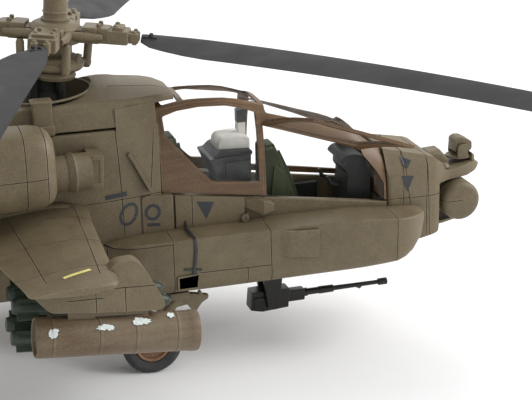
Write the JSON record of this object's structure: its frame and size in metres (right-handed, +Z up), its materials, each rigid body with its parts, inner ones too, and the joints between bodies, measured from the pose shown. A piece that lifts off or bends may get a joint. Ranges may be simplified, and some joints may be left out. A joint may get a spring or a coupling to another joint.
{
  "type": "helicopter scale model",
  "caption": "Display model of a two-seat attack helicopter on its wheels, with turning rotors, raised cockpit door, swivelling gun and sensors, and stores under stub wings.",
  "frame": {"origin": "middle of the bounding box in plan, on the ground under the tyres", "axes": "+X towards the nose, +Y to port, +Z up"},
  "size_m": [0.2404, 0.192, 0.0581],
  "materials": {
    "drab_paint": "brushed matt drab paint with dark panel lines",
    "brown_frame": "hand-brushed brown paint",
    "pod_brown": "brown paint with pale chips",
    "missile_green": "dark green paint",
    "blade_grey": "dark grey paint",
    "gun_black": "satin black paint",
    "tyre": "matt dark grey moulded tyre",
    "wheel_rust": "brown paint",
    "seat_green": "matt green paint",
    "cockpit_grey": "matt dark slate paint",
    "pale_grey": "pale grey paint",
    "clear_plastic": "slightly frosted clear moulding"
  },
  "bodies": {
    "airframe": {"blast_shield": "pale_grey", "canopy_frame": "brown_frame", "canopy_glass": "clear_plastic", "cheek_fairing_left": "drab_paint", "cheek_fairing_right": "drab_paint", "engine_exhaust_left": "drab_paint", "engine_exhaust_right": "drab_paint", "engine_nacelle_left": "drab_paint", "engine_nacelle_right": "drab_paint", "fuselage": "drab_paint", "gear_leg_left": "drab_paint", "gear_leg_right": "drab_paint", "gunner_seat": "seat_green", "inner_pylon_left": "drab_paint", "inner_pylon_right": "drab_paint", "instrument_cowl": "cockpit_grey", "missile_launcher_left": "drab_paint", "missile_launcher_right": "drab_paint", "missile_pair_inner_left": "missile_green", "missile_pair_inner_right": "missile_green", "missile_pair_outer_left": "missile_green", "missile_pair_outer_right": "missile_green", "nose_section": "drab_paint", "outer_pylon_left": "drab_paint", "outer_pylon_right": "drab_paint", "pilot_seat": "seat_green", "rocket_pod_left": "pod_brown", "rocket_pod_right": "pod_brown", "rotor_fairing": "drab_paint", "sight_console": "cockpit_grey", "tail_boom": "drab_paint", "tail_fin": "drab_paint", "wing_left": "drab_paint", "wing_right": "drab_paint"},
    "main_rotor": {"rotor_hub": "drab_paint", "swashplate": "drab_paint", "main_blade_1": "blade_grey", "main_blade_2": "blade_grey", "main_blade_3": "blade_grey", "main_blade_4": "blade_grey"},
    "tail_rotor": {"tail_rotor_inner_pair": "blade_grey", "tail_rotor_outer_pair": "blade_grey"},
    "main_wheel_right": {"main_right_tyre": "tyre", "main_right_wheel_hub": "wheel_rust"},
    "main_wheel_left": {"main_left_tyre": "tyre", "main_left_wheel_hub": "wheel_rust"},
    "tail_wheel_swivel": {"tail_wheel_fork": "drab_paint"},
    "tail_wheel": {"tail_wheel": "tyre"},
    "stabilator": {"stabilator": "drab_paint"},
    "gun_turret": {"gun_turret": "gun_black"},
    "gun": {"gun": "gun_black"},
    "sensor_yoke": {"sensor_yoke": "drab_paint"},
    "sensor_drum": {"sensor_drum": "drab_paint"},
    "night_sensor_base": {"night_sensor_base": "drab_paint"},
    "night_sensor_head": {"night_sensor_head": "drab_paint"},
    "pilot_door": {"pilot_door_frame": "brown_frame", "pilot_door_glass": "clear_plastic"},
    "gunner_door": {"gunner_door_frame": "brown_frame", "gunner_door_glass": "clear_plastic"}
  },
  "joints": [
    {"name": "main_rotor_spin", "type": "hinge", "parent": "airframe", "child": "main_rotor", "pos_m": [0.02415, 0, 0.04949], "axis": [0, 0, 1], "continuous": true},
    {"name": "tail_rotor_spin", "type": "hinge", "parent": "airframe", "child": "tail_rotor", "pos_m": [-0.10109, 0.00583, 0.03939], "axis": [0, 1, 0], "continuous": true},
    {"name": "main_wheel_right_roll", "type": "hinge", "parent": "airframe", "child": "main_wheel_right", "pos_m": [0.03748, -0.01389, 0.00457], "axis": [0, 1, 0], "continuous": true},
    {"name": "main_wheel_left_roll", "type": "hinge", "parent": "airframe", "child": "main_wheel_left", "pos_m": [0.03748, 0.01389, 0.00457], "axis": [0, 1, 0], "continuous": true},
    {"name": "tail_wheel_turn", "type": "hinge", "parent": "airframe", "child": "tail_wheel_swivel", "pos_m": [-0.10046, 0, 0.00988], "axis": [-0.0872, 0, 0.9962], "continuous": true},
    {"name": "tail_wheel_roll", "type": "hinge", "parent": "tail_wheel_swivel", "child": "tail_wheel", "pos_m": [-0.10919, 0, 0.00284], "axis": [0, 1, 0], "continuous": true},
    {"name": "stabilator_pitch", "type": "hinge", "parent": "airframe", "child": "stabilator", "pos_m": [-0.105, 0, 0.01395], "axis": [0, -1, 0], "range_deg": [-5, 35]},
    {"name": "gun_turn", "type": "hinge", "parent": "airframe", "child": "gun_turret", "pos_m": [0.06056, 0, 0.00515], "axis": [-0.0872, 0, 0.9962], "range_deg": [-86, 86]},
    {"name": "gun_elevation", "type": "hinge", "parent": "gun_turret", "child": "gun", "pos_m": [0.06056, 0, 0.00515], "axis": [0, -1, 0], "range_deg": [-12, 11]},
    {"name": "sensor_turn", "type": "hinge", "parent": "airframe", "child": "sensor_yoke", "pos_m": [0.09097, 0, 0.02252], "axis": [-0.0872, 0, 0.9962], "range_deg": [-120, 120]},
    {"name": "sensor_elevation", "type": "hinge", "parent": "sensor_yoke", "child": "sensor_drum", "pos_m": [0.09097, 0, 0.02252], "axis": [0, -1, 0], "range_deg": [-60, 30]},
    {"name": "night_sensor_turn", "type": "hinge", "parent": "airframe", "child": "night_sensor_base", "pos_m": [0.09151, 0, 0.03072], "axis": [-0.0872, 0, 0.9962], "range_deg": [-90, 90]},
    {"name": "night_sensor_elevation", "type": "hinge", "parent": "night_sensor_base", "child": "night_sensor_head", "pos_m": [0.09151, 0, 0.03072], "axis": [0, -1, 0], "range_deg": [-45, 20]},
    {"name": "pilot_door_swing", "type": "hinge", "parent": "airframe", "child": "pilot_door", "pos_m": [0.03935, -0.00424, 0.03884], "axis": [-0.9997, 0, -0.0243], "range_deg": [0, 110]},
    {"name": "gunner_door_swing", "type": "hinge", "parent": "airframe", "child": "gunner_door", "pos_m": [0.05586, -0.00525, 0.03653], "axis": [-0.9685, 0, 0.2491], "range_deg": [-104, 6]}
  ]
}
